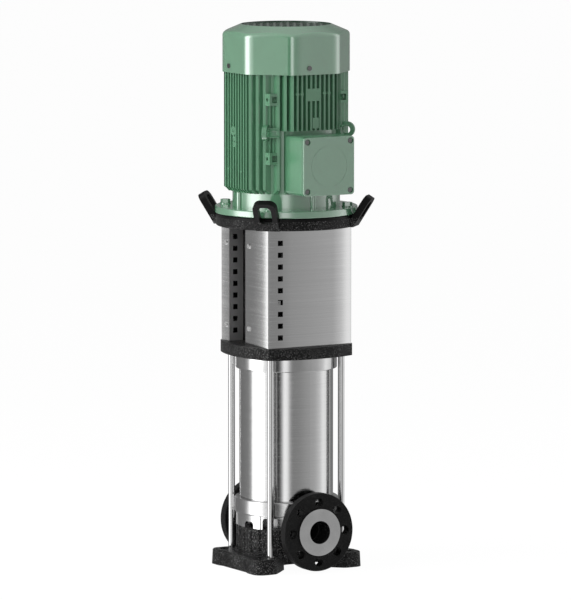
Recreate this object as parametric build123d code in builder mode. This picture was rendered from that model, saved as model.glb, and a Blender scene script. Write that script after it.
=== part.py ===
from build123d import *
import os
from math import cos, degrees, radians, sin, sqrt, asin, tan

# A vertical multistage pump: in-line port casing on a cast base, a stack of stages in a steel sleeve,
# a cast lantern with lifting lugs, a sheet-guarded muff coupling and a finned flange motor on top.
# X runs along the ports (discharge at +X), Z is up, and the origin is on the floor under the pump shaft.

os.makedirs("parts", exist_ok=True)

# Clearances between pieces that fit together
running_gap = 0.3        # turning piece to standing piece
bearing_gap = 0.05       # shaft and bearing ring seats
thread_gap = 0.1         # screw shank to its tapped hole
slip_gap = 0.2           # parts slid together by hand
bolt_gap = 1.0           # bolt shank to its clearance hole

# Ports and their loose flanges
port_height = 87.0       # port axis above the floor
port_reach = 141.0       # sealing face to pump axis
port_bore_d = 48.0
port_mouth_l = 45.0        # machined length of each port bore
passage_d = 45.0           # cast passage behind it
neck_wall = 8.0
collar_d = 99.0
collar_t = 12.0
collar_proud = 4.0       # collar face in front of the loose flange
flange_d = 165.0
flange_t = 20.0
flange_pcd = 125.0
flange_hole_d = 19.0
flange_hole_count = 8
lap_reach = 20.0         # tongue of each half past the middle
flange_edge = 1.5

# Base casting
foot_x = 104.0
foot_y = 130.0
foot_t = 32.0
foot_corner_r = 20.0
waist_x = 59.0
waist_half = 39.0
flank_end_y = 84.0
side_dip = 4.0
side_dip_half = 50.0
side_dip_run = 12.0
side_dip_r = 25.0
waist_r = 18.0
base_draft = 3.0         # degrees
base_edge_r = 2.5
slot_x = 80.0
slot_y = 106.0
slot_w = 14.0
slot_l = 24.0
plinth_d = 216.0
plinth_h = 6.0
pedestal_top = 88.0
pedestal_d = 206.0
pedestal_bore = 162.0
flute_count = 28
flute_r = 5.5
relief_d = 148.0
relief_h = 10.0

# Pump casing
casing_top = 148.0
ring_bottom = 116.0
ring_d = 219.0
ring_edge_r = 3.0
core_d = 156.0
skirt_d = 208.0
skirt_wall = 7.0
corner_window_w = 50.0     # openings in the skirt beside the port blocks
corner_window_h = 24.0
low_window_w = 27.0        # lower openings, one on each side
low_window_h = 14.0
low_window_turn = -79.5
window_r = 7.0
rib_half_angle = 26.0    # ribs either side of each axis
rib_t = 8.0
rib_d = 212.0
port_block_w = 64.0
port_block_x = 104.0
suction_chamber_d = 116.0
suction_chamber_floor = 60.0
chamber_wall = 6.0
annulus_floor = 121.0
sleeve_lip = 3.9         # lip inside the sleeve's end
drain_d = 12.0
drain_z = 128.0
vent_d = 10.0
vent_z = 444.5
vent_drop_d = 8.0
plug_af = 19.0
vent_plug_af = 12.0
plug_head = 8.0
pocket_w = 36.0

# Sleeve, head and stage stack
sleeve_d = 198.0
sleeve_wall = 3.0
sleeve_seat = 9.0        # depth of the sleeve's end in its groove
o_ring_d = 3.0
head_bottom = 422.0
head_d = 214.0
head_edge_r = 2.0
head_plate_t = 12.0
head_foot_t = 7.0        # feet that hold the stage stack down
head_foot_count = 6
head_boss_d = 106.0
head_boss_proud = 3.5
stage_count = 5
stage_pitch = 50.0
stage_d = 176.0
stage_wall = 2.5
stage_floor_t = 3.0
eye_d = 62.0
eye_wall = 3.0
diaphragm_z = 30.0
diaphragm_t = 3.0
diaphragm_d = 158.0
vane_count = 6
vane_t = 3.0
return_vane_inner = 34.0
return_vane_sweep = 30.0

# Impellers
impeller_d = 148.0
shroud_t = 3.0
impeller_lift = 5.0      # lower shroud above the stage floor
channel_h = 14.0
hub_d = 32.0
hub_drop = 3.0           # hub below the top of the lower shroud
impeller_vane_sweep = 55.0
impeller_vane_inner = 24.0

# Pump shaft and seal
shaft_d = 20.0
seal_shaft_d = 24.0
shaft_tip_z = 130.0
shaft_top_z = 640.0
nut_h = 12.0
nut_af = 27.0
seal_chamber_d = 48.0
seal_ring_d = 38.0
seal_ring_h = 24.0
seat_d = 42.0
seat_h = 8.0
gland_d = 104.0
gland_t = 12.0
gland_pilot = 9.0
gland_neck_d = 64.0
gland_neck_h = 26.0
gland_screw_d = 8.0
gland_screw_pcd = 84.0
gland_screw_depth = 14.0

# Tie rods
rod_x = 82.0
rod_y = 86.0
rod_d = 14.0
rod_seat = 18.0          # length screwed into the base
rod_nut_af = 22.0
rod_nut_h = 11.0
rod_washer_d = 26.0
rod_washer_t = 2.5
rod_end = 3.0            # rod past its nut

# Lantern
lantern_plate_z = 451.0
lantern_plate_t = 24.5
plate_half = 101.5
plate_bulge = 21.5
plate_corner_r = 5.0
lantern_bore_d = 108.0
lantern_top = 750.0
lantern_ring_t = 26.5
lantern_ring_d = 296.0
lantern_ring_bore = 104.0
ring_corner_r = 3.0
pillar_inner = 55.0
pillar_t = 12.0
pillar_x_from = -86.0
pillar_x_to = 30.0
pillar_fillet = 7.0
guard_boss_w = 16.0
guard_boss_h = 20.0

# Lifting lugs
lug_start = 151.0        # front face to pump axis at the ring's underside
lug_tilt = 32.0          # degrees out of the vertical
lug_w = 50.0
lug_l = 70.0
lug_t = 14.0
lug_corner_r = 15.0
lug_hole_w = 28.0
lug_hole_l = 44.0
lug_hole_r = 11.0
lug_hole_top = 9.0

# Coupling guards
sheet_t = 1.2
guard_gap = 0.4          # above the plate and under the ring
guard_half_x = 97.5
guard_half_y = 101.0
guard_bulge = 11.5
guard_wrap_end = 3.5
guard_strip_end = 64.0
guard_return = 33.0
guard_hole = 11.0
guard_hole_pitch = 24.8
guard_hole_count = 9
guard_hole_low = 498.0
guard_hole_y = 74.0
guard_return_hole_y = 86.5
guard_screw_x = 19.6
guard_strip_screw_x = 76.5
guard_screw_low = 510.0
guard_screw_high = 684.0
guard_screw_d = 5.0

# Coupling
coupling_bottom = 566.0
coupling_top = 738.0
coupling_d = 88.0
coupling_split = 2.0
coupling_edge = 2.0
coupling_screw_d = 8.0
coupling_screw_y = 30.0
coupling_screw_margin = 26.0

# Motor flange and drive-end shield
flange_overhang = 2.0      # motor flange past the lantern ring
motor_flange_t = 14.5
motor_pcd = 265.0
motor_bolt_d = 12.0
motor_bolt_reach = 20.0  # shank below the motor flange
motor_bolt_af = 18.0
motor_bolt_head = 7.5
motor_washer_d = 24.0
motor_washer_t = 2.0
spigot_d = 230.0
spigot_h = 4.0
barrel_d = 226.0
barrel_wall = 9.0
frame_bottom = 797.0
shield_spigot_h = 6.0
shield_web_t = 9.0
bell_post_r = 7.0

# Motor frame
frame_top = 1052.0
fin_pitch = 10.8
fin_side_count = 7       # fins either side of the middle one
fin_t = 4.4
fin_apothem = 122.0
fin_chamfer = 9.0
box_fin_bottom = 930.0   # where the fins above the terminal box end
pad_reach = 95.0
pad_size = 24.0
pad_height = 25.0
pad_low_z = 860.0
pad_high_z = 983.0
pad_hole_d = 8.0
pad_window = 13.0
pad_wall = 5.0
eye_centre_reach = 129.0
eye_z = 926.0
eye_outer_d = 33.0
eye_hole_d = 16.0
eye_t = 10.0
eye_shift = 10.0
eye_block_h = 21.0
eye_block_w = 22.0
eye_block_reach = 125.0
plate_pad_w = 36.0
plate_pad_h = 26.0
plate_pad_y = -5.0
plate_pad_z = 1005.0
tip_boss_d = 7.5
tip_boss_hole_d = 3.5
tip_boss_z = 1007.0
box_side_bosses = (-4, -3, 2, 3)      # fins that carry a boss, counted from the middle one
drill_plate_w = 15.0
drill_plate_h = 22.0
drill_plate_z = 946.0
ring_boss_d = 20.0
ring_boss_z = 925.0
long_side_plate_z = 903.0
long_side_bosses = ((-3, 845.0), (2, 842.0))

# Motor inside
motor_shaft_d = 38.0
motor_shaft_end = 80.0   # shaft below the flange face
low_bearing = (40.0, 90.0, 23.0, 15.0, 8)
high_bearing = (35.0, 72.0, 17.0, 11.0, 8)
low_bearing_z = 773.0
high_bearing_z = 1033.0
stator_bottom = 830.0
stator_top = 990.0
air_gap = 0.6
rotor_d = 148.8
slot_count = 24
winding_h = 22.0
winding_inner = 80.0
winding_outer = 98.0
fan_shaft_d = 28.0
fan_shaft_top = 1100.0

# Fan and its cover
fan_d = 176.0
fan_bottom = 1072.0
fan_h = 34.0
fan_plate_t = 3.0
fan_hub_d = 44.0
fan_blade_count = 8
fan_blade_t = 3.0
cover_apothem = 127.0
cover_corner_r = 38.0
cover_wall = 2.0
cover_bottom = 1047.0
cover_crown_z = 1146.0
crown_r = 96.0
cone_fall = 23.0         # degrees
shoulder_r = 10.0
grille_depth = 2.5
grille_t = 2.0
grille_hole = 10.5
grille_pitch = 14.0
grille_hub_d = 34.0
cover_screw_offset = 18.5
cover_screw_z = 1061.0
cover_screw_d = 5.0
cover_lug_w = 16.0
cover_lug_h = 18.0

# Terminal box
box_bottom = 799.0
box_size = 122.0
box_back = 101.0
box_lid_x = 168.0
lid_t = 9.0
box_wall = 5.0
box_corner_r = 7.0
lid_screw_inset = 9.5
lid_screw_d = 5.0
lid_head_d = 9.0
lid_head_h = 3.0
lid_ear_d = 13.0
lid_ear_h = 2.5
lid_ring_d = 85.0
lid_ring_w = 1.2
lid_ring_h = 0.6
entry_d = 32.0
entry_spacing = 52.0
entry_head_af = 36.0
entry_head_h = 8.0
entry_x = 141.0
board_w = 70.0
board_l = 54.0
board_t = 8.0
board_post_d = 9.0
board_post_h = 16.0

# Sizes that follow from the ones above
neck_d = port_bore_d + 2 * neck_wall
motor_flange_d = lantern_ring_d + 2 * flange_overhang
sleeve_r = sleeve_d / 2
sleeve_inner_r = sleeve_r - sleeve_wall
lip_r = sleeve_inner_r - sleeve_lip
groove_depth = sleeve_seat + o_ring_d + slip_gap
stack_bottom = casing_top
stack_top = stack_bottom + stage_count * stage_pitch
lantern_plate_top = lantern_plate_z + lantern_plate_t
lantern_ring_z = lantern_top - lantern_ring_t
pillar_outer = pillar_inner + pillar_t
guard_z = lantern_plate_top + guard_gap
guard_h = lantern_ring_z - guard_gap - guard_z
guard_mid_z = guard_z + guard_h / 2
motor_flange_top = lantern_top + motor_flange_t
barrel_r = barrel_d / 2
barrel_inner_r = barrel_r - barrel_wall
box_mid_z = box_bottom + box_size / 2
hub_bottom = impeller_lift + shroud_t - hub_drop
hub_top = diaphragm_z
shaft_shoulder_z = stack_bottom + stage_count * stage_pitch + hub_bottom
head_boss_top = lantern_plate_top + head_boss_proud
seal_ring_top = head_boss_top - gland_pilot - running_gap
rod_top = lantern_plate_top + rod_washer_t + rod_nut_h + rod_end
rod_places = [(sx * rod_x, sy * rod_y) for sx in (-1, 1) for sy in (-1, 1)]
diagonals = (45, 135, 225, 315)


def write(piece, name):
    """Label a finished piece and write it under its node name."""
    piece.part.label = name
    export_step(piece.part, "parts/" + name + ".step")


def turned_plane(height, angle):
    """Horizontal plane at a height, turned about the pump axis."""
    return Plane.XY.offset(height).rotated((0, 0, angle))


def outward_plane(angle, distance, height):
    """Upright plane whose normal points away from the pump axis."""
    direction = Vector(cos(radians(angle)), sin(radians(angle)), 0)
    origin = direction * distance + Vector(0, 0, height)
    return Plane(origin=origin, x_dir=Vector(-direction.Y, direction.X, 0), z_dir=direction)


# Base: drafted plate with four lobed feet, a round plinth and a fluted pedestal, cast in one piece
with BuildPart() as base:
    with BuildSketch() as footprint:
        with BuildLine():
            Polyline(
                (waist_x, 0),
                (waist_x, waist_half),
                (foot_x, flank_end_y),
                (foot_x, foot_y),
                (side_dip_half + side_dip_run, foot_y),
                (side_dip_half, foot_y - side_dip),
                (0, foot_y - side_dip),
                (0, 0),
                close=True,
            )
        make_face()
        mirror(about=Plane.XZ)
        mirror(about=Plane.YZ)
        outline = footprint.vertices()
        fillet(outline.filter_by(lambda v: abs(abs(v.Y) - foot_y) < 1e-3 and abs(v.X) > slot_x), foot_corner_r)
        dip = footprint.vertices().filter_by(lambda v: abs(abs(v.X) - side_dip_half) < side_dip_run + 1)
        fillet(dip.filter_by(lambda v: abs(v.Y) > flank_end_y + 1), side_dip_r)
        fillet(footprint.vertices().filter_by(lambda v: abs(abs(v.Y) - waist_half) < 1e-3), waist_r)
        fillet(footprint.vertices().filter_by(lambda v: abs(abs(v.Y) - flank_end_y) < 1e-3), waist_r)
    extrude(amount=foot_t, taper=base_draft)
    fillet(base.faces().sort_by(Axis.Z)[-1].edges(), base_edge_r)
    with BuildSketch(Plane.XY.offset(foot_t)):
        Circle(plinth_d / 2)
    extrude(amount=plinth_h)
    with BuildSketch(Plane.XY.offset(foot_t + plinth_h)):
        Circle(pedestal_d / 2)
        with PolarLocations(pedestal_d / 2 - flute_r / 2, flute_count):
            Circle(flute_r)
    extrude(amount=pedestal_top - foot_t - plinth_h)
    with BuildSketch(Plane.XY.offset(foot_t + plinth_h)):
        Circle(pedestal_bore / 2)
    extrude(amount=pedestal_top, mode=Mode.SUBTRACT)
    # Saddles for the port necks, open down to the plate
    for end in (-1, 1):
        with BuildSketch(Plane.YZ.offset(end * plinth_d / 4)):
            with Locations((0, port_height)):
                Circle(neck_d / 2 + bolt_gap)
            with Locations((0, (port_height + foot_t) / 2)):
                Rectangle(neck_d + 2 * bolt_gap, port_height - foot_t)
        extrude(amount=end * plinth_d / 2, mode=Mode.SUBTRACT)
    # Hold-down slots and tapped holes for the tie rods
    with BuildSketch():
        with GridLocations(2 * slot_x, 2 * slot_y, 2, 2):
            SlotOverall(slot_l, slot_w)
    extrude(amount=foot_t + plinth_h, mode=Mode.SUBTRACT)
    with BuildSketch(Plane.XY.offset(foot_t - rod_seat - thread_gap)):
        with Locations(*rod_places):
            Circle(rod_d / 2 + thread_gap)
    extrude(amount=foot_t, mode=Mode.SUBTRACT)
    with BuildSketch():
        Circle(relief_d / 2)
    extrude(amount=relief_h, mode=Mode.SUBTRACT)
write(base, "base")

# Pump casing: stainless casting with opposed necks and collars, a skirt with openings and a grooved ring
with BuildPart() as pump_casing:
    with BuildSketch(Plane.XZ):
        with BuildLine():
            Polyline(
                (0, foot_t + plinth_h),
                (core_d / 2, foot_t + plinth_h),
                (core_d / 2, ring_bottom),
                (skirt_d / 2 - skirt_wall, ring_bottom),
                (skirt_d / 2 - skirt_wall, pedestal_top + running_gap),
                (skirt_d / 2, pedestal_top + running_gap),
                (skirt_d / 2, ring_bottom),
                (ring_d / 2, ring_bottom),
                (ring_d / 2, casing_top),
                (0, casing_top),
                close=True,
            )
        make_face()
    revolve(axis=Axis.Z)
    rim = pump_casing.edges().filter_by(GeomType.CIRCLE).filter_by(lambda e: abs(e.radius - ring_d / 2) < 1e-3)
    fillet(rim, ring_edge_r)
    for axis_angle in (0, 90, 180, 270):
        for side in (-1, 1):
            with BuildSketch(turned_plane(pedestal_top + running_gap, axis_angle + side * rib_half_angle)):
                with Locations(((core_d / 2 + rib_d / 2) / 2 - rib_t / 2, 0)):
                    Rectangle((rib_d - core_d) / 2 + rib_t, rib_t)
            extrude(amount=ring_bottom - pedestal_top)
    # Openings in the skirt, round at the top: four beside the port blocks, a lower one on each side
    for turn, wide, tall in (
        *((quarter, corner_window_w, corner_window_h) for quarter in (-135, -45, 45, 135)),
        *((low_window_turn + half, low_window_w, low_window_h) for half in (0, 180)),
    ):
        with BuildSketch(outward_plane(turn, skirt_d / 2 - skirt_wall * 1.5, pedestal_top)):
            RectangleRounded(wide, 2 * tall, window_r)
        extrude(amount=2 * skirt_wall, mode=Mode.SUBTRACT)
    for end in (-1, 1):
        with BuildSketch(Plane.XY.offset(port_height)):
            with Locations((end * (core_d / 2 + port_block_x) / 2, 0)):
                Rectangle(port_block_x - core_d / 2 + rib_t, port_block_w)
        extrude(amount=ring_bottom + ring_edge_r - port_height)
        with BuildSketch(Plane.YZ.offset(end * port_reach)):
            with Locations((0, port_height)):
                Circle(collar_d / 2)
        extrude(amount=-end * collar_t)
        with BuildSketch(Plane.YZ.offset(end * port_reach)):
            with Locations((0, port_height)):
                Circle(neck_d / 2)
        extrude(amount=-end * (port_reach - core_d / 2 + rib_t))
    # Suction chamber in the middle, annular discharge channel round it, grooves for the sleeve
    with BuildSketch(Plane.XY.offset(suction_chamber_floor)):
        Circle(suction_chamber_d / 2)
    extrude(amount=casing_top, mode=Mode.SUBTRACT)
    with BuildSketch(Plane.XY.offset(annulus_floor)):
        Circle(lip_r)
        Circle(suction_chamber_d / 2 + chamber_wall, mode=Mode.SUBTRACT)
    extrude(amount=casing_top, mode=Mode.SUBTRACT)
    with BuildSketch(Plane.XY.offset(casing_top - groove_depth)):
        Circle(sleeve_r + slip_gap)
        Circle(sleeve_inner_r - slip_gap, mode=Mode.SUBTRACT)
    extrude(amount=casing_top, mode=Mode.SUBTRACT)
    # Machined port mouths; cast passages behind them, to the chamber and through a pocket to the channel
    for end in (-1, 1):
        with BuildSketch(Plane.YZ.offset(end * port_reach)):
            with Locations((0, port_height)):
                Circle(port_bore_d / 2)
        extrude(amount=-end * port_mouth_l, mode=Mode.SUBTRACT)
    with BuildSketch(Plane.YZ.offset(-port_reach)):
        with Locations((0, port_height)):
            Circle(passage_d / 2)
    extrude(amount=port_reach - suction_chamber_d / 2 + neck_wall, mode=Mode.SUBTRACT)
    with BuildSketch(Plane.YZ.offset(port_reach)):
        with Locations((0, port_height)):
            Circle(passage_d / 2)
    extrude(amount=-(port_reach - suction_chamber_d / 2 - chamber_wall), mode=Mode.SUBTRACT)
    with BuildSketch(Plane.XY.offset(port_height)):
        with Locations(((suction_chamber_d / 2 + chamber_wall + lip_r) / 2, 0)):
            Rectangle(lip_r - suction_chamber_d / 2 - chamber_wall, pocket_w)
    extrude(amount=annulus_floor - port_height, mode=Mode.SUBTRACT)
    # Tapped drain hole through the ring on the side away from the guards' open seam
    with BuildSketch(Plane.XZ.offset(-lip_r + sleeve_lip)):
        with Locations((0, drain_z)):
            Circle(drain_d / 2)
    extrude(amount=-ring_d, mode=Mode.SUBTRACT)
write(pump_casing, "pump_casing")

with BuildPart() as drain_plug:
    with BuildSketch(Plane.XZ.offset(-ring_d / 2)):
        with Locations((0, drain_z)):
            RegularPolygon(plug_af / 2, 6, major_radius=False)
    extrude(amount=-plug_head)
    with BuildSketch(Plane.XZ.offset(-ring_d / 2)):
        with Locations((0, drain_z)):
            Circle(drain_d / 2 - thread_gap)
    extrude(amount=ring_d / 2 - lip_r)
write(drain_plug, "drain_plug")


def hexagon_screw(size, across, head, length, plane, places):
    """Hexagon-headed screws: shanks run back from the plane, heads stand in front of it."""
    with BuildPart() as group:
        with BuildSketch(plane):
            with Locations(*places):
                RegularPolygon(across / 2, 6, major_radius=False)
        extrude(amount=head)
        with BuildSketch(plane):
            with Locations(*places):
                Circle(size / 2)
        extrude(amount=-length)
    return group


def flange_half(end, side, name):
    """Half of a loose flange, with a half-thickness tongue on each side of the lap."""
    back = end * (port_reach - collar_proud - flange_t)
    middle = back + end * flange_t / 2
    with BuildPart() as half:
        with BuildSketch(Plane.YZ.offset(back)):
            with Locations((0, port_height)):
                Circle(flange_d / 2)
        extrude(amount=end * flange_t)
        chamfer(half.edges().filter_by(GeomType.CIRCLE), flange_edge)
        with BuildSketch(Plane.YZ.offset(back)):
            with Locations((0, port_height)):
                Circle(neck_d / 2 + running_gap)
                with PolarLocations(flange_pcd / 2, flange_hole_count):
                    Circle(flange_hole_d / 2)
        extrude(amount=end * flange_t, mode=Mode.SUBTRACT)
        with BuildSketch(Plane.YZ.offset(end * (port_reach - collar_t - running_gap))):
            with Locations((0, port_height)):
                Circle(collar_d / 2 + running_gap)
        extrude(amount=end * flange_t, mode=Mode.SUBTRACT)
        # Everything past the stepped seam belongs to the other half
        for layer in (-1, 1):
            near = -lap_reach + running_gap / 2
            far = lap_reach + running_gap / 2
            up = layer * flange_d
            with BuildSketch(Plane.YZ.offset(middle - end * layer * running_gap / 2)):
                with BuildLine():
                    Polyline(
                        (-side * flange_d, port_height + side * up),
                        (side * near, port_height + side * up),
                        (side * near, port_height),
                        (side * far, port_height),
                        (side * far, port_height - side * up),
                        (-side * flange_d, port_height - side * up),
                        close=True,
                    )
                make_face()
            extrude(amount=end * layer * flange_t, mode=Mode.SUBTRACT)
    write(half, name)


# Loose flanges: each is split in two so that it can be put on behind the collar of its neck
flange_half(1, 1, "discharge_flange_far")
flange_half(1, -1, "discharge_flange_near")
flange_half(-1, 1, "suction_flange_far")
flange_half(-1, -1, "suction_flange_near")

# Tie rods from the base up through the lantern, with washers and nuts on top
with BuildPart() as tie_rods:
    with BuildSketch(Plane.XY.offset(foot_t - rod_seat)):
        with Locations(*rod_places):
            Circle(rod_d / 2)
    extrude(amount=rod_top - foot_t + rod_seat)
    chamfer(tie_rods.edges().filter_by(GeomType.CIRCLE).group_by(Axis.Z)[-1], 1)
write(tie_rods, "tie_rods")

with BuildPart() as tie_rod_washers:
    with BuildSketch(Plane.XY.offset(lantern_plate_top)):
        with Locations(*rod_places):
            Circle(rod_washer_d / 2)
            Circle(rod_d / 2 + slip_gap, mode=Mode.SUBTRACT)
    extrude(amount=rod_washer_t)
write(tie_rod_washers, "tie_rod_washers")

with BuildPart() as tie_rod_nuts:
    with BuildSketch(Plane.XY.offset(lantern_plate_top + rod_washer_t)):
        with Locations(*rod_places):
            RegularPolygon(rod_nut_af / 2, 6, major_radius=False)
            Circle(rod_d / 2, mode=Mode.SUBTRACT)
    extrude(amount=rod_nut_h)
write(tie_rod_nuts, "tie_rod_nuts")

# Outer sleeve and the O-rings at its two ends
with BuildPart() as outer_sleeve:
    with BuildSketch(Plane.XY.offset(casing_top - sleeve_seat)):
        Circle(sleeve_r)
        Circle(sleeve_inner_r, mode=Mode.SUBTRACT)
    extrude(amount=head_bottom + 2 * sleeve_seat - casing_top)
write(outer_sleeve, "outer_sleeve")

with BuildPart() as sleeve_o_rings:
    for ring_z in (casing_top - sleeve_seat - o_ring_d / 2, head_bottom + sleeve_seat + o_ring_d / 2):
        with BuildSketch(Plane.XZ):
            with Locations((sleeve_r - sleeve_wall / 2, ring_z)):
                Circle(o_ring_d / 2)
        revolve(axis=Axis.Z)
write(sleeve_o_rings, "sleeve_o_rings")

# Pump head: closes the sleeve, presses the stages together and carries the seal in its boss
with BuildPart() as pump_head:
    with BuildSketch(Plane.XZ):
        with BuildLine():
            Polyline(
                (seal_chamber_d / 2, lantern_plate_z - head_plate_t),
                (lip_r, lantern_plate_z - head_plate_t),
                (lip_r, head_bottom),
                (sleeve_inner_r - slip_gap, head_bottom),
                (sleeve_inner_r - slip_gap, head_bottom + groove_depth),
                (sleeve_r + slip_gap, head_bottom + groove_depth),
                (sleeve_r + slip_gap, head_bottom),
                (head_d / 2, head_bottom),
                (head_d / 2, lantern_plate_z),
                (head_boss_d / 2, lantern_plate_z),
                (head_boss_d / 2, head_boss_top),
                (seal_chamber_d / 2, head_boss_top),
                close=True,
            )
        make_face()
    revolve(axis=Axis.Z)
    rims = pump_head.edges().filter_by(GeomType.CIRCLE).filter_by(lambda e: abs(e.radius - head_d / 2) < 1e-3)
    fillet(rims, head_edge_r)
    with BuildSketch(Plane.XY.offset(lantern_plate_z - head_plate_t)):
        with PolarLocations(stage_d / 2 - head_foot_t / 2, head_foot_count):
            Rectangle(head_foot_t, 4 * head_foot_t)
    extrude(amount=-(lantern_plate_z - head_plate_t - stack_top))
    with BuildSketch(Plane.XY.offset(head_boss_top)):
        with PolarLocations(gland_screw_pcd / 2, 4, 45):
            Circle(gland_screw_d / 2 + thread_gap)
    extrude(amount=-gland_screw_depth - thread_gap, mode=Mode.SUBTRACT)
    # Vent: a radial hole that meets an upright drilling from the chamber below
    with BuildSketch(Plane.XZ.offset(-lip_r + sleeve_seat)):
        with Locations((0, vent_z)):
            Circle(vent_d / 2)
    extrude(amount=-head_d, mode=Mode.SUBTRACT)
    with BuildSketch(Plane.XY.offset(vent_z)):
        with Locations((0, lip_r - sleeve_seat + vent_drop_d / 2 + slip_gap)):
            Circle(vent_drop_d / 2)
    extrude(amount=-head_plate_t, mode=Mode.SUBTRACT)
write(pump_head, "pump_head")

with BuildPart() as vent_plug:
    with BuildSketch(Plane.XZ.offset(-head_d / 2)):
        with Locations((0, vent_z)):
            RegularPolygon(vent_plug_af / 2, 6, major_radius=False)
    extrude(amount=-plug_head)
    with BuildSketch(Plane.XZ.offset(-head_d / 2)):
        with Locations((0, vent_z)):
            Circle(vent_d / 2 - thread_gap)
    extrude(amount=head_d / 2 - lip_r)
write(vent_plug, "vent_plug")

# Curved blades of the impellers and of the return channels, each a thin strip along an arc
with BuildSketch() as impeller_blade:
    with BuildLine():
        ThreePointArc(
            (impeller_vane_inner, 0),
            Vector((impeller_vane_inner + impeller_d / 2) / 2, 0).rotate(Axis.Z, 0.4 * impeller_vane_sweep),
            Vector(impeller_d / 2 - vane_t / 2, 0).rotate(Axis.Z, impeller_vane_sweep),
        )
    trace(line_width=vane_t)
with BuildSketch() as return_blade:
    with BuildLine():
        ThreePointArc(
            (return_vane_inner, 0),
            Vector((return_vane_inner + stage_d / 2) / 2, 0).rotate(Axis.Z, -0.6 * return_vane_sweep),
            Vector(stage_d / 2 - stage_wall / 2, 0).rotate(Axis.Z, -return_vane_sweep),
        )
    trace(line_width=vane_t)

# Stage casings and impellers, one above the other
for stage in range(stage_count):
    stage_z = stack_bottom + stage * stage_pitch
    with BuildPart() as stage_casing:
        with BuildSketch(Plane.XY.offset(stage_z)):
            Circle(stage_d / 2)
            Circle(eye_d / 2, mode=Mode.SUBTRACT)
        extrude(amount=stage_floor_t)
        with BuildSketch(Plane.XY.offset(stage_z)):
            Circle(stage_d / 2)
            Circle(stage_d / 2 - stage_wall, mode=Mode.SUBTRACT)
        extrude(amount=stage_pitch)
        with BuildSketch(Plane.XY.offset(stage_z + diaphragm_z)):
            Circle(diaphragm_d / 2)
            Circle(hub_d / 2 + running_gap, mode=Mode.SUBTRACT)
        extrude(amount=diaphragm_t)
        with BuildSketch(Plane.XY.offset(stage_z + diaphragm_z)):
            with PolarLocations(0, vane_count):
                add(return_blade.sketch)
        extrude(amount=stage_pitch - diaphragm_z)
    write(stage_casing, "stage_casing_" + str(stage + 1))
    with BuildPart() as impeller:
        with BuildSketch(Plane.XZ):
            with BuildLine():
                Polyline(
                    (shaft_d / 2, stage_z + hub_bottom),
                    (hub_d / 2, stage_z + hub_bottom),
                    (hub_d / 2, stage_z + impeller_lift + shroud_t + channel_h),
                    (impeller_d / 2, stage_z + impeller_lift + shroud_t + channel_h),
                    (impeller_d / 2, stage_z + impeller_lift + 2 * shroud_t + channel_h),
                    (hub_d / 2, stage_z + impeller_lift + 2 * shroud_t + channel_h),
                    (hub_d / 2, stage_z + hub_top),
                    (shaft_d / 2, stage_z + hub_top),
                    close=True,
                )
            make_face()
            with BuildLine():
                Polyline(
                    (eye_d / 2 - running_gap - eye_wall, stage_z),
                    (eye_d / 2 - running_gap, stage_z),
                    (eye_d / 2 - running_gap, stage_z + impeller_lift),
                    (impeller_d / 2, stage_z + impeller_lift),
                    (impeller_d / 2, stage_z + impeller_lift + shroud_t),
                    (eye_d / 2 - running_gap - eye_wall, stage_z + impeller_lift + shroud_t),
                    close=True,
                )
            make_face()
        revolve(axis=Axis.Z)
        with BuildSketch(Plane.XY.offset(stage_z + impeller_lift + shroud_t)):
            with PolarLocations(0, vane_count):
                add(impeller_blade.sketch)
        extrude(amount=channel_h)
    write(impeller, "impeller_" + str(stage + 1))

# Spacers between the impeller hubs, and the nut that holds the stack against the shaft shoulder
with BuildPart() as impeller_spacers:
    for stage in range(stage_count):
        with BuildSketch(Plane.XY.offset(stack_bottom + stage * stage_pitch + hub_top)):
            Circle(hub_d / 2)
            Circle(shaft_d / 2, mode=Mode.SUBTRACT)
        extrude(amount=stage_pitch + hub_bottom - hub_top)
write(impeller_spacers, "impeller_spacers")

with BuildPart() as impeller_nut:
    with BuildSketch(Plane.XY.offset(stack_bottom + hub_bottom)):
        RegularPolygon(nut_af / 2, 6, major_radius=False)
        Circle(shaft_d / 2, mode=Mode.SUBTRACT)
    extrude(amount=-nut_h)
write(impeller_nut, "impeller_nut")

with BuildPart() as pump_shaft:
    with BuildSketch(Plane.XY.offset(shaft_tip_z)):
        Circle(shaft_d / 2)
    extrude(amount=shaft_shoulder_z - shaft_tip_z)
    with BuildSketch(Plane.XY.offset(shaft_shoulder_z)):
        Circle(seal_shaft_d / 2)
    extrude(amount=shaft_top_z - shaft_shoulder_z)
    chamfer(pump_shaft.edges().filter_by(GeomType.CIRCLE).group_by(Axis.Z)[-1], 1)
write(pump_shaft, "pump_shaft")

# Shaft seal: rotating ring on the shaft, fixed seat in the gland, gland screwed on the head's boss
with BuildPart() as seal_ring:
    with BuildSketch(Plane.XY.offset(seal_ring_top)):
        Circle(seal_ring_d / 2)
        Circle(seal_shaft_d / 2, mode=Mode.SUBTRACT)
    extrude(amount=-seal_ring_h)
write(seal_ring, "seal_ring")

with BuildPart() as seal_seat:
    with BuildSketch(Plane.XY.offset(head_boss_top - gland_pilot)):
        Circle(seat_d / 2)
        Circle(seal_shaft_d / 2 + running_gap, mode=Mode.SUBTRACT)
    extrude(amount=seat_h)
write(seal_seat, "seal_seat")

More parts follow.
